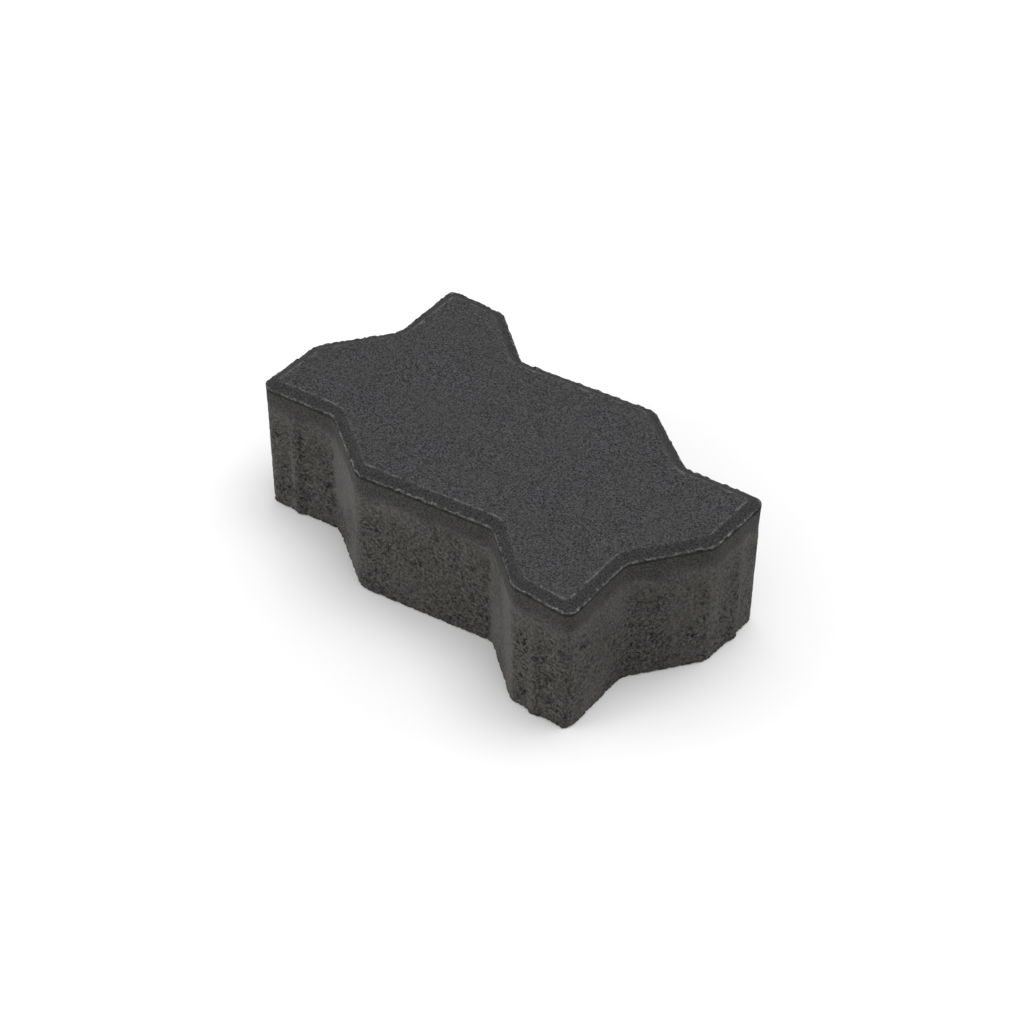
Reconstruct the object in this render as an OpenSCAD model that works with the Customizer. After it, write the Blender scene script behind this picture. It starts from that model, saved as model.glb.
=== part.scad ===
// Interlocking paving stone: one block of pressed concrete, zig-zag on all four sides,
// bevelled round its wearing face, with spacer nibs low on the sides.
// Bed face on z = 0, plan centred on the origin, long sides along X.
// The plan is unchanged by a half turn about Z. Each side's flats and steps are read
// from its left corner, as seen by someone facing that side.

/* [Stone] */
// Height from the bed face to the wearing face
stone_h = 80; // [50:1:120]

/* [Long side] */
// Flat from the left corner
long_left_flat = 44; // [30:0.5:55]
// Turn of that flat, inward from the line of the side
long_left_turn = 15; // [5:0.5:20]
// Step out to the middle flat
long_first_step = 44.5; // [35:0.5:60]
// Turn of that step, outward
long_first_step_turn = 26; // [15:0.5:32]
// Flat in the middle
long_middle_flat = 76; // [55:0.5:90]
// Turn of that flat, inward
long_middle_turn = 17; // [5:0.5:22]
// Step out to the right corner's flat
long_second_step = 39.5; // [35:0.5:55]
// Turn of that step, outward
long_second_step_turn = 30; // [15:0.5:34]
// Flat into the right corner
long_right_flat = 34; // [24:0.5:45]
// Turn of that flat, inward
long_right_turn = 9.5; // [5:0.5:20]

/* [Short side] */
// Flat from the left corner
short_left_flat = 44; // [32:0.5:55]
// Turn of that flat, inward from the line of the side
short_left_turn = 10; // [5:0.5:20]
// Step in the middle
short_step = 44; // [35:0.5:55]
// Turn of that step, outward
short_step_turn = 28; // [15:0.5:32]
// Flat into the right corner
short_right_flat = 41; // [30:0.5:52]
// Turn of that flat, inward
short_right_turn = 7.5; // [5:0.5:20]

/* [Edges] */
// Radius of the four corners where a long side meets a short one
corner_r = 5; // [2:0.5:8]
// Radius of the blunt bends that point out between them
bend_r = 8; // [2:0.5:12]
// Radius of the notches, which point in
notch_r = 8; // [1:0.5:12]
// Width of the bevel round the wearing face, in plan
bevel_w = 6; // [2:0.5:8]
// Drop of the bevel
bevel_drop = 3; // [1:0.5:6]
// Radius of the corners and bends at the bevel's inner edge
bevel_corner_r = 2.5; // [1:0.5:5]

/* [Spacer nibs] */
// How far a nib stands out of the side
nib_proud = 1.6; // [0.8:0.1:3]
// Width of a nib where it leaves the side
nib_w = 8; // [4:0.5:10]
// Width of a nib's nose
nib_nose_w = 3; // [1:0.5:4]
// Depth of a nib's top below the wearing face
nib_top_drop = 16; // [10:1:30]
// Distance of each nib's middle from its corner
nib_from_corner = 20; // [14:0.5:22]

/* [Hidden] */

// Steps on each rounded corner's arc
arc_steps = 5;
// How far a nib's root runs into the stone
nib_root = 2;
// Height over which a nib's top slopes back into the side
nib_slope_h = 2 * nib_proud;

// One half of the outline, anticlockwise from the left corner of the front long side:
// each edge's length and its turn inward from its own side
long_edges = [
    [long_left_flat, long_left_turn],
    [long_first_step, -long_first_step_turn],
    [long_middle_flat, long_middle_turn],
    [long_second_step, -long_second_step_turn],
    [long_right_flat, long_right_turn]
];
short_edges = [
    [short_left_flat, short_left_turn],
    [short_step, -short_step_turn],
    [short_right_flat, short_right_turn]
];
half_count = len(long_edges) + len(short_edges);

function heading(angle) = [cos(angle), sin(angle)];
function left_of(v) = [-v.y, v.x];
function turned(v, angle) = v * cos(angle) + left_of(v) * sin(angle);
function total(list, n) = n == 0 ? [0, 0] : total(list, n - 1) + list[n - 1];

half_edges = concat(
    [for (e = long_edges) e[0] * heading(e[1])],
    [for (e = short_edges) e[0] * heading(90 + e[1])]
);
// The other half is the first, turned half round
edges = concat(half_edges, -half_edges);
sharp_corners = [for (i = [0:len(edges) - 1]) total(edges, i) - total(edges, half_count) / 2];
headings = [for (e = edges) e / norm(e)];

// The edge before edge i, round the closed outline
function before(i) = headings[(i + len(edges) - 1) % len(edges)];

// Corner i of the outline moved in by w from both its edges
function inset_corner(i, w) =
    let (na = left_of(before(i)), nb = left_of(headings[i]))
    sharp_corners[i] + w * (na + nb) / (1 + na * nb);

// Arc that rounds corner i of the outline moved in by w. The turn is positive where the corner
// points out, and over 60 degrees where a long side meets a short one. Each kind has its radius.
function rounded(i, w, r_corner, r_bend, r_notch) =
    let (
        a = before(i),
        b = headings[i],
        turn = atan2(a.x * b.y - a.y * b.x, a * b),
        r = turn < 0 ? r_notch : turn > 60 ? r_corner : r_bend,
        tangent = r * tan(abs(turn) / 2),
        spoke = sign(turn) * r * left_of(a),
        centre = inset_corner(i, w) - a * tangent + spoke
    )
    [for (k = [0:arc_steps]) centre - turned(spoke, turn * k / arc_steps)];

function ring(w, r_corner, r_bend, r_notch) =
    [for (i = [0:len(edges) - 1]) each rounded(i, w, r_corner, r_bend, r_notch)];

outer_ring = ring(0, corner_r, bend_r, notch_r);
// Notches stay concentric, so their radius grows by the bevel's width
inner_ring = ring(bevel_w, bevel_corner_r, bevel_corner_r, notch_r + bevel_w);

// Sloping band between the two rings, closed by a fan from the middle above and below
module bevel_band() {
    n = len(outer_ring);
    function at_height(ring_points, z) = [for (p = ring_points) [p.x, p.y, z]];
    points = concat(
        at_height(outer_ring, stone_h - bevel_drop),
        at_height(inner_ring, stone_h),
        [[0, 0, stone_h - bevel_drop], [0, 0, stone_h]]
    );
    function next(i) = (i + 1) % n;
    faces = concat(
        [for (i = [0:n - 1]) [i, n + i, n + next(i), next(i)]],
        [for (i = [0:n - 1]) [i, next(i), 2 * n]],
        [for (i = [0:n - 1]) [n + next(i), n + i, 2 * n + 1]]
    );
    polyhedron(points, faces);
}

// Upright rib on edge i, its middle at a distance along the edge, sloped back at the top.
// Its flanks and its slope run on into the stone, to the depth of its root.
module nib(i, along) {
    foot = sharp_corners[i] + along * headings[i];
    nib_h = stone_h - nib_top_drop;
    root_w = nib_w + nib_root * (nib_w - nib_nose_w) / nib_proud;
    root_h = nib_h + nib_root * nib_slope_h / nib_proud;
    translate([foot.x, foot.y, 0])
        rotate(atan2(headings[i].y, headings[i].x))
            intersection() {
                linear_extrude(root_h)
                    polygon([
                        [-root_w / 2, nib_root],
                        [-nib_nose_w / 2, -nib_proud],
                        [nib_nose_w / 2, -nib_proud],
                        [root_w / 2, nib_root]
                    ]);
                translate([-root_w, 0, 0])
                    rotate([90, 0, 90])
                        linear_extrude(2 * root_w)
                            polygon([
                                [nib_root, 0],
                                [-nib_proud, 0],
                                [-nib_proud, nib_h - nib_slope_h],
                                [nib_root, root_h]
                            ]);
            }
}

module paving_stone() {
    color("#4a4948") {
        linear_extrude(stone_h - bevel_drop)
            polygon(outer_ring);
        bevel_band();
        // On each long side the two end flats have a nib, on each short side the right-hand flat
        for (half = [0, half_count]) {
            nib(half, nib_from_corner);
            nib(half + 4, long_right_flat - nib_from_corner);
            nib(half + half_count - 1, short_right_flat - nib_from_corner);
        }
    }
}

paving_stone();
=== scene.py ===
import math

import bmesh
import bpy
from mathutils import Matrix, Vector, kdtree, noise


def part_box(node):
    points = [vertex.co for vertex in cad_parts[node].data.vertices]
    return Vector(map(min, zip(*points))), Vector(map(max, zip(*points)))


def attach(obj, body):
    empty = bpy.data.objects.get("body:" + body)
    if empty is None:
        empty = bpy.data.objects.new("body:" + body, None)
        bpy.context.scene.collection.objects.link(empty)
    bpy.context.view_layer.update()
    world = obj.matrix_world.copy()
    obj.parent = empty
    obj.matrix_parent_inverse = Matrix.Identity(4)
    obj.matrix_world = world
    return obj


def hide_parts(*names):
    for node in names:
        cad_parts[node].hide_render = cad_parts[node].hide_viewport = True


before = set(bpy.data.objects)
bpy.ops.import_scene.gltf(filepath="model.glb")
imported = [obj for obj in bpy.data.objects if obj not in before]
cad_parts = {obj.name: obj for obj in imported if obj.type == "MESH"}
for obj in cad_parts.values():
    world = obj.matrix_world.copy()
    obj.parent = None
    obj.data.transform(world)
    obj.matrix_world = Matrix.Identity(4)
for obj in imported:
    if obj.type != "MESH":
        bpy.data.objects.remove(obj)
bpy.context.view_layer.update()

# ---------------------------------------------------------------------------
# The paving stone is one block of dry concrete, rammed and shaken in a steel mould: a fine
# charcoal facing mix over a coarser base mix. The ram leaves the bevel, and a thin burr where
# it met the mould's walls. The block is then pushed straight out, which drags the sides.
# ---------------------------------------------------------------------------

MM = 0.001
AXIS_X = Vector((1, 0, 0))
AXIS_Y = Vector((0, 1, 0))
AXIS_Z = Vector((0, 0, 1))
WELD = 0.01 * MM                # points nearer than this are one point
SAME_PLANE = math.radians(0.4)  # faces that turn less than this from each other are one face
LEVEL_FACE = 0.999              # least upright part of a level face's normal
WALL_CELL = 1.05 * MM           # cells that the sides and the bevel are cut into
FIELD_CELL = 2.2 * MM
BED_CELL = 2.6 * MM

stone_low, stone_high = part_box("paving_stone")
block = bmesh.new()
block.from_mesh(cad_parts["paving_stone"].data)
bmesh.ops.remove_doubles(block, verts=block.verts, dist=WELD)
bmesh.ops.dissolve_limit(block, angle_limit=SAME_PLANE, verts=block.verts, edges=block.edges)
block.normal_update()
# The shoulder is the bevel's lower edge, the highest points that are not on the wearing face
shoulder_z = max(v.co.z for v in block.verts if v.co.z < stone_high.z - 0.5 * MM)


def cut(faces, point, normal):
    """Cuts these faces with a plane and gives back the faces that they became."""
    parts = set(faces)
    for face in faces:
        parts.update(face.edges)
        parts.update(face.verts)
    result = bmesh.ops.bisect_plane(
        block, geom=list(parts), dist=WELD, plane_co=point, plane_no=normal)
    return [part for part in result["geom"] if isinstance(part, bmesh.types.BMFace)]


def spaced(low, high, step):
    """Places that divide a length into equal cells of about this step, without its ends."""
    count = max(round((high - low) / step), 1)
    return [low + (high - low) * i / count for i in range(1, count)]


# Each wall and the bevel over it are cut across in step, square to the wall
field = [f for f in block.faces if f.normal.z > LEVEL_FACE]
bed = [f for f in block.faces if f.normal.z < -LEVEL_FACE]
for wall in [f for f in block.faces if abs(f.normal.z) < 0.01]:
    along = Vector((-wall.normal.y, wall.normal.x, 0)).normalized()
    reach = [along.dot(v.co) for v in wall.verts]
    bevel = [f for e in wall.edges for f in e.link_faces if 0.5 < f.normal.z < LEVEL_FACE]
    strip = [wall] + bevel
    for step in spaced(min(reach), max(reach), WALL_CELL):
        strip = cut(strip, along * step, along)
for faces, cell in ((field, FIELD_CELL), (bed, BED_CELL)):
    for x in spaced(stone_low.x, stone_high.x, cell):
        faces = cut(faces, AXIS_X * x, AXIS_X)
    for y in spaced(stone_low.y, stone_high.y, cell):
        faces = cut(faces, AXIS_Y * y, AXIS_Y)

# Levels in mm below and above the shoulder, closest at the burr and at the field's rim
BELOW_SHOULDER = (0.3, 0.65, 1.1)
UP_THE_BEVEL = (0.15, 0.4, 0.8, 1.3, 1.8, 2.3, 2.65, 2.85)
levels = [shoulder_z - drop * MM for drop in BELOW_SHOULDER]
levels += spaced(0, shoulder_z - BELOW_SHOULDER[-1] * MM, WALL_CELL)
levels += [shoulder_z + rise * MM for rise in UP_THE_BEVEL]
sides = [f for f in block.faces if -0.9 < f.normal.z < LEVEL_FACE]
for z in levels:
    sides = cut(sides, AXIS_Z * z, AXIS_Z)

# The mould's corners and the nibs' edges are worn, so the walls are evened out in plan
SOFTENING_TURNS = 7
CRISP_BELOW_SHOULDER = 1.5 * MM
softened = [v for v in block.verts
            if v.co.z < shoulder_z - CRISP_BELOW_SHOULDER and abs(v.normal.z) < 0.9]
for turn in range(SOFTENING_TURNS):
    bmesh.ops.smooth_vert(block, verts=softened, factor=0.5, use_axis_x=True, use_axis_y=True)
block.normal_update()

# From here the relief is worked out in mm
shoulder_mm = shoulder_z / MM
bevel_mm = stone_high.z / MM - shoulder_mm
CENTRED = Vector((0, 0, 0))
SHIFTED = Vector((50, 20, 5))   # takes a second pattern from another part of the noise
noise.seed_set(5)               # noise_vector takes its three offsets from the seed


def smooth(low, high, value):
    """Rises evenly from 0 at low to 1 at high, or falls where low is the higher."""
    t = min(max((value - low) / (high - low), 0.0), 1.0)
    return t * t * (3 - 2 * t)


def pattern(place, size, shift=CENTRED):
    """Smooth noise, about -1 to 1, with features of about this size in mm."""
    return noise.noise(place / size + shift)


def cavity(place, cell, share, deepest):
    """A hole left between stones of the mix, at this share of the spots that lie a cell apart:
    its depth in mm, and how far into a hole the place is, 0 to 1."""
    wander = noise.noise_vector(place / (0.7 * cell)) * (0.4 * cell)
    distances, spots = noise.voronoi((place + wander) / cell)
    # Every spot draws a fixed number from 0 to 1
    draw = 0.5 + 0.5 * math.sin(spots[0].x * 91.7 + spots[0].y * 57.3 + spots[0].z * 37.9)
    if draw > share:
        return 0.0, 0.0
    radius = 0.28 + 0.3 * draw / share
    inside = max(0.0, 1 - (distances[0] / radius) ** 2)
    return deepest * (0.5 + 0.5 * draw / share) * inside, inside


# Walls: the facing mix reaches this far below the shoulder, and gives way to the base mix over
# the fade, above and below. The base mix is closest just under it and opens down to this depth.
FACING_DEPTH = 11.5
FACING_FADE = 2.5
CLOSE_DEPTH = FACING_DEPTH + 16
# Uneven walls and base grit, each with its size and depth
WAVES = ((19, 0.135), (6.5, 0.072))
GRIT_SIZE, GRIT_DEPTH = 1.7, 0.12
WALL_SUNK = 0.12                # keeps the waves inside the stone's outline
# Holes: distance apart, share of the spots that have one, and depth
WIDE_HOLES = (5.0, 0.2, 1.1)
SMALL_HOLES = (2.9, 0.4, 0.8)
# Ways that the smoothly dragged walls face, in degrees from +X, and how smooth they are. The
# pale dragged paste on walls facing these ways is partly painted sheen.
DRAGGED_AND_SHEEN_WALLS = ((-118, 1.0), (9, 0.6))
drag_and_sheen_ways = [(Matrix.Rotation(math.radians(turn), 3, "Z") @ AXIS_X, share)
                for turn, share in DRAGGED_AND_SHEEN_WALLS]
# The bed's edge is worn round: its height on the wall, its reach on the bed, how far it goes
# in and how far it lifts. In places it has crumbled further.
ARRIS_HEIGHT = 2.2
ARRIS_REACH = 3.52
ARRIS_INWARD = 0.99
ARRIS_LIFT = 0.55
CRUMBLE_HEIGHT = 5.5
CRUMBLE_INWARD = 0.9
CRUMBLE_LIFT = 0.5
# Bites in the concrete just under the burr
BITE_SIZE, BITE_DEPTH = 3.4, 0.7


def wall_relief(place, outward, rise):
    """At a place on a wall: its depth and how far it has crumbled upward in mm, and how dragged it is
    (partly painted sheen) and how far into a hole, 0 to 1."""
    facing_edge = FACING_DEPTH + FACING_FADE * pattern(place, 13)
    base = 1 - smooth(-FACING_FADE, FACING_FADE, facing_edge + rise)
    smear = noise.noise(Vector((place.x / 22, place.y / 22, place.z / 90)))
    drag_and_sheen = max(share * smooth(0.84, 0.98, abs(outward.dot(way))) for way, share in drag_and_sheen_ways)
    drag_and_sheen *= smooth(-0.75, 0.3, smear)
    under_facing = smooth(CLOSE_DEPTH, FACING_DEPTH + 3, 5 * pattern(place, 9) - rise)
    drag_and_sheen = max(drag_and_sheen, 0.45 * smooth(-0.1, 0.7, smear), 0.55 * under_facing) * base
    drag_and_sheen *= smooth(-0.75, 0.25, pattern(place, 21, SHIFTED))
    opening = smooth(FACING_DEPTH, CLOSE_DEPTH, 5 * pattern(place, 10) - rise)
    rough = (0.15 + 0.85 * opening) * base * (1 - 0.85 * drag_and_sheen)
    rough *= smooth(-0.5, 0.2, pattern(place, 14, SHIFTED))
    wide_depth, wide = cavity(place, *WIDE_HOLES)
    small_depth, small = cavity(place + SHIFTED, *SMALL_HOLES)
    depth = WALL_SUNK + rough * (wide_depth + small_depth)
    depth += sum(deep * pattern(place, size) for size, deep in WAVES)
    depth += base * GRIT_DEPTH * (1 + pattern(place, GRIT_SIZE))
    round_part = 1 - min(place.z / ARRIS_HEIGHT, 1.0)
    depth += ARRIS_INWARD * (1 - math.sqrt(max(0.0, 1 - round_part ** 2)))
    crumble = smooth(CRUMBLE_HEIGHT, 0.5, place.z) * smooth(0.1, 0.55, pattern(place, 8, -SHIFTED))
    depth += CRUMBLE_INWARD * crumble
    bites = smooth(0.15, 0.5, pattern(place, BITE_SIZE, SHIFTED))
    depth += BITE_DEPTH * bites * smooth(-1.9, -0.7, rise)
    return depth, CRUMBLE_LIFT * crumble, drag_and_sheen, rough * max(wide, 0.8 * small)


# Bed: struck off level and left open, with its rough skin sunk a little
BED_HOLES = (5.5, 0.4, 1.2)
BED_SUNK = 0.12
BED_GRAIN_SIZE, BED_GRAIN_DEPTH = 3, 0.25
wall_foot = [v for v in block.verts
             if v.co.z < WELD and any(abs(f.normal.z) < 0.5 for f in v.link_faces)]
on_wall_foot = set(wall_foot)
foot_tree = kdtree.KDTree(len(wall_foot))
for index, vert in enumerate(wall_foot):
    foot_tree.insert(vert.co, index)
foot_tree.balance()


def bed_relief(point, place):
    """A bed point's move in mm, and how far into a hole it is, 0 to 1."""
    foot, index, distance = foot_tree.find(point)
    closeness = 1 - min(distance / MM / ARRIS_REACH, 1.0)
    hole_depth, hole = cavity(place, *BED_HOLES)
    lift = max(0.0, hole_depth + BED_SUNK + BED_GRAIN_DEPTH * pattern(place, BED_GRAIN_SIZE))
    inward = (point - foot).normalized() * closeness * ARRIS_INWARD
    return inward + AXIS_Z * (lift + ARRIS_LIFT * closeness ** 2), hole


# Burr: a broken ridge of paste standing along the shoulder, chipped off in places
BURR_SIZE = 1.9
BURR_HEIGHT = 0.7
BURR_FOOT = 0.25                # how far it swells the lowest part of the bevel
SHOULDER_SUNK = 0.15
CHIP_INWARD = 1.1
CHIP_DROP = 0.7


def burr_relief(place, outward):
    """A shoulder point's move in mm."""
    ridge = smooth(-0.35, 0.4, pattern(place, BURR_SIZE)) * smooth(-0.6, 0.0, pattern(place, 9))
    chip = smooth(0.3, 0.55, pattern(place, BITE_SIZE, SHIFTED))
    inward = SHOULDER_SUNK + CHIP_INWARD * chip
    return AXIS_Z * (BURR_HEIGHT * ridge - CHIP_DROP * chip) - outward * inward


# Bevel: the ram's rim is worn, which hollows it a little and leaves a thin lip at the field
BEVEL_HOLLOW = 0.3
BEVEL_SUNK = 0.05
BEVEL_RIPPLE_SIZE, BEVEL_RIPPLE = 5, 0.1
LIP_SIZE, LIP_HEIGHT = 4, 0.18


def bevel_relief(place, normal, rise):
    """A bevel point's move in mm."""
    ridge = smooth(-0.2, 0.45, pattern(place, BURR_SIZE)) * smooth(0.5, 0.1, rise)
    swell = BURR_FOOT * ridge + BEVEL_RIPPLE * pattern(place, BEVEL_RIPPLE_SIZE) - BEVEL_SUNK
    swell -= BEVEL_HOLLOW * math.sin(math.pi * rise / bevel_mm)
    lip = LIP_HEIGHT * smooth(2.2, 2.9, rise) * smooth(-0.2, 0.3, pattern(place, LIP_SIZE))
    return normal * swell + AXIS_Z * lip


# Field: almost flat, with its grain sunk less at the rim, where the ram pressed it up
FIELD_SUNK = 0.22
RIM_SUNK = 0.1
FIELD_WAVES = ((2.6, 0.08), (11, 0.1))
FIELD_INNER = 0.9995            # least upright part of a normal away from the field's rim


def rim_highlight_by_facing(outward):
    """How strongly the field's rim carries a painted highlight, by the way it faces: most on the
    flats.
    """
    folded = math.degrees(math.atan2(outward.y, outward.x)) % 90
    return 0.15 + 0.65 * smooth(75, 88, folded) + 0.65 * smooth(40, 25, folded)


# The material reads these: height above the shoulder in mm, and the rest from 0 to 1
above, inner, rim_highlight_strength, drag_and_sheen_layer, hollow = (
    block.verts.layers.float.new(name) for name in ("above", "inner", "rim_highlight_strength", "drag_and_sheen", "hole"))
moves = []
for vert in block.verts:
    place = vert.co / MM
    outward = Vector((vert.normal.x, vert.normal.y, 0)).normalized()
    rise = place.z - shoulder_mm
    vert[above] = rise
    if vert in on_wall_foot or 0.01 < place.z < shoulder_mm - 0.05:
        depth, crumbled, vert[drag_and_sheen_layer], vert[hollow] = wall_relief(place, outward, rise)
        move = -outward * depth
        if vert in on_wall_foot:
            move.z = ARRIS_LIFT + crumbled
    elif place.z < 0.01:
        move, vert[hollow] = bed_relief(vert.co, place)
    elif rise < 0.05:
        move = burr_relief(place, outward)
    elif rise < bevel_mm - 0.01:
        vert[rim_highlight_strength] = rim_highlight_by_facing(outward)
        move = bevel_relief(place, vert.normal, rise)
    else:
        is_inner = vert.normal.z > FIELD_INNER
        vert[inner] = 1.0 if is_inner else 0.0
        vert[rim_highlight_strength] = rim_highlight_by_facing(outward)
        grain = sum(deep * pattern(place, size) for size, deep in FIELD_WAVES)
        move = AXIS_Z * (grain - (FIELD_SUNK if is_inner else RIM_SUNK))
    moves.append((vert, move))
for vert, move in moves:
    vert.co += move * MM
    for axis in range(3):
        vert.co[axis] = min(max(vert.co[axis], stone_low[axis]), stone_high[axis])

for face in block.faces:
    face.smooth = True
stone_mesh = bpy.data.meshes.new("paving_stone_cast")
block.to_mesh(stone_mesh)
block.free()
stone = bpy.data.objects.new("paving_stone_cast", stone_mesh)
bpy.context.scene.collection.objects.link(stone)


def linear(hex_colour):
    """An sRGB hex colour as linear values."""
    def channel(value):
        return value / 12.92 if value <= 0.04045 else ((value + 0.055) / 1.055) ** 2.4
    digits = hex_colour.lstrip("#")
    return tuple(channel(int(digits[i:i + 2], 16) / 255) for i in (0, 2, 4)) + (1.0,)


# Pressed concrete coloured with black iron oxide: dull, sandy and almost without gloss on
# the facing, open and speckled on the base, and pale where cement paste was dragged over it,
# which on the walls facing two ways is partly painted sheen.
concrete = bpy.data.materials.new("pressed_charcoal_concrete")
concrete.use_nodes = True
tree = concrete.node_tree
bsdf = tree.nodes["Principled BSDF"]


def add(kind, settings=None, **links):
    """Adds a node. Settings fill its properties, and links its sockets, each named or, as i6,
    numbered, with a number, a colour or another node's socket."""
    node = tree.nodes.new(kind)
    for name, value in (settings or {}).items():
        setattr(node, name, value)
    for name, value in links.items():
        key = int(name[1:]) if name[0] == "i" and name[1:].isdigit() else name.replace("_", " ")
        if isinstance(value, bpy.types.NodeSocket):
            tree.links.new(value, node.inputs[key])
        else:
            node.inputs[key].default_value = value
    is_colour_mix = kind == "ShaderNodeMix" and node.data_type == "RGBA"
    return node.outputs[2] if is_colour_mix else node.outputs[0]


NOISE = "ShaderNodeTexNoise"
RANGE = "ShaderNodeMapRange"
MATH = "ShaderNodeMath"
MIX = "ShaderNodeMix"
TIMES = {"operation": "MULTIPLY"}
PLUS = {"operation": "ADD"}
SIZE_OF = {"operation": "ABSOLUTE"}
COLOURS = {"data_type": "RGBA"}
# Sizes in mm of what the finish is made of
SAND = 0.9
CRUMB = 1.3
GRIT = 1.45
SMEAR = 1.6
PORE = 1.9
EDGE_WANDER = 2.0
PATCH = 4.5
SLOW_WANDER = 11.0
STAIN = 26.0


def scale(size):
    """The noise scale that gives features of this size in mm."""
    return 1 / (size * MM)


texture_coordinates = tree.nodes.new("ShaderNodeTexCoord")
coords = texture_coordinates.outputs["Object"]
attribute = {}
for name in ("above", "inner", "rim_highlight_strength", "drag_and_sheen", "hole"):
    node = tree.nodes.new("ShaderNodeAttribute")
    node.attribute_name = name
    attribute[name] = node.outputs["Fac"]
over = attribute["above"]

# Where the facing mix lies, and the bevel on it, with wandering edges
slow_wander = add(NOISE, Vector=coords, Scale=scale(SLOW_WANDER), Detail=2.0)
slow_shift = add(RANGE, Value=slow_wander, To_Min=-7, To_Max=7)
facing_height = add(MATH, PLUS, i0=over, i1=slow_shift)
facing = add(RANGE, Value=facing_height, From_Min=-FACING_DEPTH - 3, From_Max=-FACING_DEPTH + 2.5)
on_wall = add(RANGE, Value=over, From_Min=-0.2, From_Max=0.2, To_Min=1.0, To_Max=0.0)
over_shoulder = add(RANGE, Value=over, From_Min=0.1, From_Max=0.5)
under_field = add(RANGE, Value=over, From_Min=2.2, From_Max=2.95, To_Min=1.0, To_Max=0.0)
on_bevel = add(MATH, TIMES, i0=over_shoulder, i1=under_field)

# The burr is a broken pale line on the shoulder, and painted shade darkens a crease under it
BURR_WANDER = 0.9
CREASE_DROP = 1.35
wander = add(NOISE, Vector=coords, Scale=scale(EDGE_WANDER), Detail=2.0)
wander_shift = add(RANGE, Value=wander, To_Min=-BURR_WANDER, To_Max=BURR_WANDER)
height = add(MATH, PLUS, i0=over, i1=wander_shift)
patches = add(NOISE, Vector=coords, Scale=scale(PATCH), Detail=1.0)
crumbs = add(NOISE, Vector=coords, Scale=scale(CRUMB), Detail=1.0)
burr_lengths = add(RANGE, Value=patches, From_Min=0.36, From_Max=0.6, To_Min=0.1)
burr_crumbs = add(RANGE, Value=crumbs, From_Min=0.38, From_Max=0.6, To_Min=0.15)
burr_broken = add(MATH, TIMES, i0=burr_lengths, i1=burr_crumbs)
burr_reach = add(MATH, SIZE_OF, i0=height)
burr_line = add(RANGE, Value=burr_reach, From_Min=0.15, From_Max=0.55, To_Min=1.0, To_Max=0.0)
burr = add(MATH, TIMES, i0=burr_line, i1=burr_broken)
# Painted shade: a dark band along the crease under the burr
crease_reach = add(MATH, SIZE_OF, i0=add(MATH, PLUS, i0=height, i1=CREASE_DROP))
painted_crease_shade = add(RANGE, Value=crease_reach, From_Min=0.35, From_Max=1.1, To_Min=0.75, To_Max=0.0)

# A broken painted highlight runs along the field's rim
near_rim = add(RANGE, Value=over, From_Min=2.6, From_Max=2.9)
rim_width = add(RANGE, Value=attribute["inner"], From_Min=0.05, From_Max=0.7, To_Min=1.0, To_Max=0.0)
rim_line = add(MATH, TIMES, i0=near_rim, i1=rim_width)
rim_lengths = add(RANGE, Value=patches, From_Min=0.4, From_Max=0.6)
rim_crumbs = add(RANGE, Value=crumbs, From_Min=0.35, From_Max=0.6, To_Min=0.3)
rim_broken = add(MATH, TIMES, i0=rim_lengths, i1=rim_crumbs)
painted_rim_highlight = add(MATH, TIMES, i0=rim_line, i1=add(MATH, TIMES, i0=rim_broken, i1=attribute["rim_highlight_strength"]))

# Facing mix: sharp sand in black paste, a little greyer in clouds where it has been rubbed
sand = add(NOISE, Vector=coords, Scale=scale(SAND), Detail=2.0, Roughness=0.7)
cloud = add(NOISE, Vector=coords, Scale=scale(STAIN), Detail=2.0)
sand_spread = add(RANGE, Value=sand, From_Min=0.34, From_Max=0.68)
rubbed = add(RANGE, Value=cloud, From_Min=0.4, From_Max=0.65, To_Max=0.22)
sandy_field = add(MIX, COLOURS, i0=sand_spread, i6=linear("#070707"), i7=linear("#48484a"))
field_colour = add(MIX, COLOURS, i0=rubbed, i6=sandy_field, i7=linear("#363533"))
bevel_colour = add(MIX, COLOURS, i0=sand_spread, i6=linear("#101010"), i7=linear("#39393a"))
wall_facing = add(MIX, COLOURS, i0=sand_spread, i6=linear("#171615"), i7=linear("#424140"))
top_colour = add(MIX, COLOURS, i0=on_bevel, i6=field_colour, i7=bevel_colour)
facing_colour = add(MIX, COLOURS, i0=on_wall, i6=top_colour, i7=wall_facing)

# Base mix: grit with open pores between its grains where paste was short, more of them lower
# down and few where paste was dragged over. The pores and holes are darkened with painted shade.
# Brown fines stain it faintly in places.
grit = add(NOISE, Vector=coords, Scale=scale(GRIT), Detail=3.0, Roughness=0.75)
grit_spread = add(RANGE, Value=grit, From_Min=0.34, From_Max=0.68)
pore_field = add(NOISE, Vector=coords, Scale=scale(PORE), Detail=2.0, Roughness=0.55, Distortion=0.6)
open_pores = add(RANGE, Value=pore_field, From_Min=0.425, From_Max=0.37)
short_of_paste = add(RANGE, Value=slow_wander, From_Min=0.36, From_Max=0.6, To_Min=0.25)
lower_down = add(
    RANGE, Value=facing_height, From_Min=-FACING_DEPTH - 2, From_Max=-FACING_DEPTH - 16, To_Min=0.3)
clear_of_drag = add(RANGE, Value=attribute["drag_and_sheen"], To_Min=1.0, To_Max=0.1)
pores_left = add(MATH, TIMES, i0=clear_of_drag, i1=lower_down)
pores = add(MATH, TIMES, i0=add(MATH, TIMES, i0=open_pores, i1=short_of_paste), i1=pores_left)
smeared = add(NOISE, Vector=coords, Scale=scale(SMEAR), Detail=1.0)
paste = add(RANGE, Value=smeared, From_Min=0.32, From_Max=0.62, To_Min=0.25)
dragged_paste_and_sheen = add(MATH, TIMES, i0=attribute["drag_and_sheen"], i1=paste)
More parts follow.
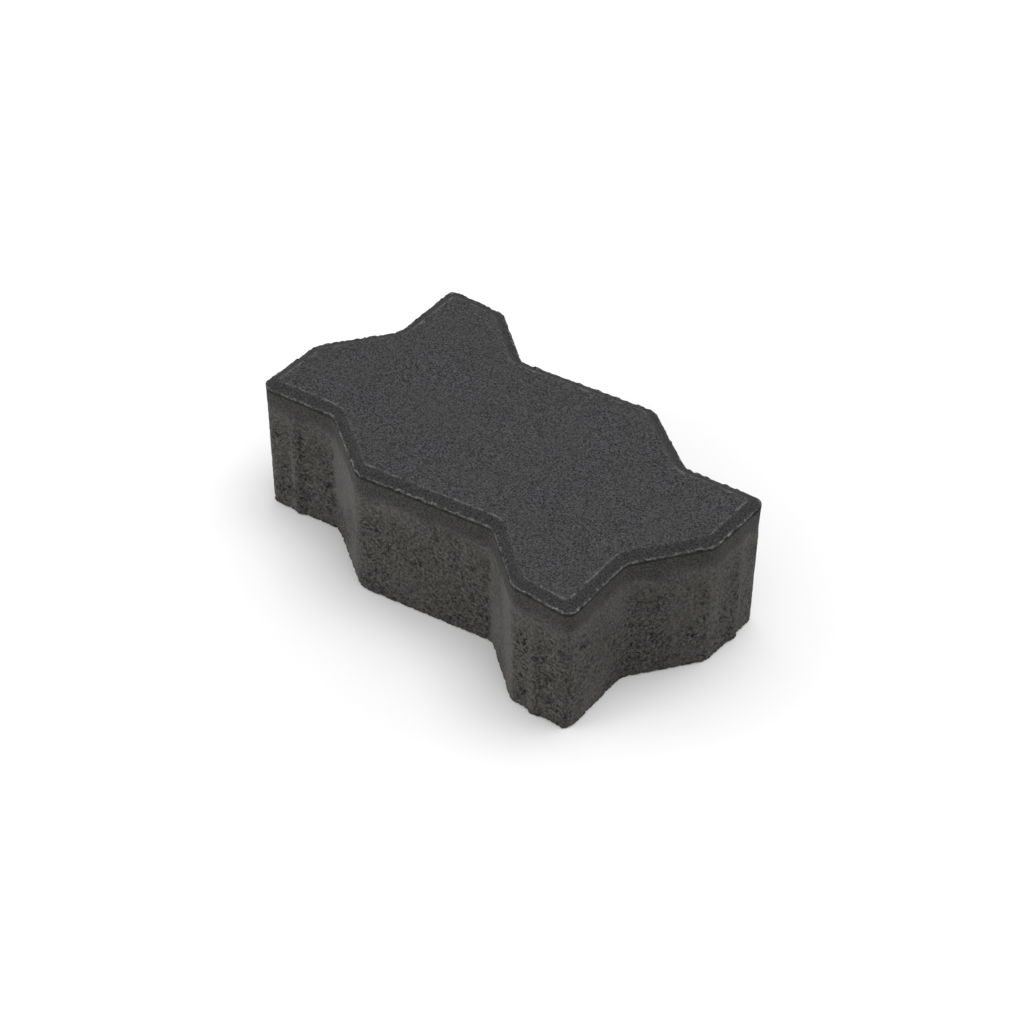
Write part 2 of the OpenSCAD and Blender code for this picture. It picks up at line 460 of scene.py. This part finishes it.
stain = add(RANGE, Value=cloud, From_Min=0.5, From_Max=0.66, To_Max=0.12)
stain = add(MATH, TIMES, i0=stain, i1=lower_down)
# Painted shade inside the holes
painted_hole_shade = add(RANGE, Value=attribute["hole"], From_Min=0.15, From_Max=0.9, To_Max=0.75)
base_colour = add(MIX, COLOURS, i0=grit_spread, i6=linear("#100f0e"), i7=linear("#565551"))
for share, shade in (
    # Pale dragged paste, partly painted sheen
    (dragged_paste_and_sheen, "#504e4c"),
    (stain, "#4a3832"),
    # Painted shade darkens the pores and the holes
    (pores, "#080807"),
    (painted_hole_shade, "#0e0d0c"),
):
    base_colour = add(MIX, COLOURS, i0=share, i6=base_colour, i7=linear(shade))

colour = add(MIX, COLOURS, i0=facing, i6=base_colour, i7=facing_colour)
# Painted shade in the crease under the burr, a painted highlight along the field's rim, and the pale
# burr
for share, shade in ((painted_crease_shade, "#0f0f0e"), (painted_rim_highlight, "#616163"), (burr, "#6e6d6b")):
    colour = add(MIX, COLOURS, i0=share, i6=colour, i7=linear(shade))
tree.links.new(colour, bsdf.inputs["Base Color"])
bsdf.inputs["Roughness"].default_value = 0.8
bsdf.inputs["Specular IOR Level"].default_value = 0.2

# Relief too fine for the mesh: sand stands out a little, grit more, and the pores are sunk
sand_relief = add(MATH, TIMES, i0=sand, i1=0.4)
grit_relief = add(MATH, TIMES, i0=grit, i1=0.9)
pore_relief = add(MATH, TIMES, i0=pores, i1=-0.6)
base_relief = add(MATH, PLUS, i0=grit_relief, i1=pore_relief)
relief = add(MIX, i0=facing, i2=base_relief, i3=sand_relief)
relief = add(MATH, PLUS, i0=relief, i1=add(MATH, TIMES, i0=burr, i1=0.4))
bumped = add("ShaderNodeBump", Height=relief, Strength=0.9, Distance=0.9 * MM)
tree.links.new(bumped, bsdf.inputs["Normal"])
stone_mesh.materials.append(concrete)
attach(stone, "root")
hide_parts("paving_stone")

# ---------------------------------------------------------------------------
# The floor is a sheet of white studio paper, laid flat and reaching well past the view.
# ---------------------------------------------------------------------------

FLOOR_REACH = 4.0
sheet = bmesh.new()
bmesh.ops.create_grid(sheet, x_segments=1, y_segments=1, size=FLOOR_REACH)
floor_mesh = bpy.data.meshes.new("floor")
sheet.to_mesh(floor_mesh)
sheet.free()
floor = bpy.data.objects.new("floor", floor_mesh)
bpy.context.scene.collection.objects.link(floor)
# Uncoated paper: a matt white without gloss
paper = bpy.data.materials.new("white_paper")
paper.use_nodes = True
paper_bsdf = paper.node_tree.nodes["Principled BSDF"]
paper_bsdf.inputs["Base Color"].default_value = linear("#e4e4e4")
paper_bsdf.inputs["Roughness"].default_value = 0.9
floor_mesh.materials.append(paper)

# ---------------------------------------------------------------------------
# The light is a white studio tent with a softbox overhead and one at each side, all of them
# large, so that the floor burns out to white and the shadows stay close to the stone.
# ---------------------------------------------------------------------------

TENT_STRENGTH = 0.92
world = bpy.data.worlds.new("studio_tent")
world.use_nodes = True
tent = world.node_tree.nodes["Background"]
tent.inputs["Color"].default_value = (1, 1, 1, 1)
tent.inputs["Strength"].default_value = TENT_STRENGTH
bpy.context.scene.world = world
bpy.context.scene.view_settings.view_transform = "Standard"

SOFTBOX_DISTANCE = 1.6
# Name, turn from +X and height, both in degrees, size in m, and watts
SOFTBOXES = (
    ("softbox_over", 60, 78, 0.9, 11.0),
    ("softbox_left", 235, 20, 1.0, 9.0),
    ("softbox_right", 60, 20, 1.0, 3.0),
)
for name, turn, tilt, size, watts in SOFTBOXES:
    lamp = bpy.data.lights.new(name, "AREA")
    lamp.size = size
    lamp.energy = watts
    softbox = bpy.data.objects.new(name, lamp)
    turn, tilt = math.radians(turn), math.radians(tilt)
    toward = Vector((math.cos(turn) * math.cos(tilt), math.sin(turn) * math.cos(tilt), math.sin(tilt)))
    softbox.location = toward * SOFTBOX_DISTANCE
    softbox.rotation_euler = toward.to_track_quat("Z", "Y").to_euler()
    bpy.context.scene.collection.objects.link(softbox)

# ---------------------------------------------------------------------------
# The camera looks down on the near corner of the stone, from far off through a long lens.
# ---------------------------------------------------------------------------

AIM = Vector((0, 0, 35 * MM))
CAMERA_AZIMUTH = math.radians(46.46)
CAMERA_ELEVATION = math.radians(42.83)
CAMERA_ROLL = math.radians(0.49)
CAMERA_DISTANCE = 1249.1 * MM
CAMERA_LENS = 87.93
SENSOR_WIDTH = 36
FAR_CLIP = 20
RIGHT_OF_AIM = 2.54 * MM
ABOVE_AIM = -3.23 * MM
level_part = math.cos(CAMERA_ELEVATION)
back = Vector((
    math.sin(CAMERA_AZIMUTH) * level_part,
    -math.cos(CAMERA_AZIMUTH) * level_part,
    math.sin(CAMERA_ELEVATION),
))
level = Vector((math.cos(CAMERA_AZIMUTH), math.sin(CAMERA_AZIMUTH), 0))
right = math.cos(CAMERA_ROLL) * level + math.sin(CAMERA_ROLL) * back.cross(level)
up = back.cross(right)
camera_data = bpy.data.cameras.new("camera")
camera_data.sensor_width = SENSOR_WIDTH
camera_data.lens = CAMERA_LENS
camera_data.clip_end = FAR_CLIP
camera = bpy.data.objects.new("camera", camera_data)
stand = AIM + back * CAMERA_DISTANCE + right * RIGHT_OF_AIM + up * ABOVE_AIM
camera.matrix_world = Matrix.Translation(stand) @ Matrix((right, up, back)).transposed().to_4x4()
bpy.context.scene.collection.objects.link(camera)
bpy.context.scene.camera = camera
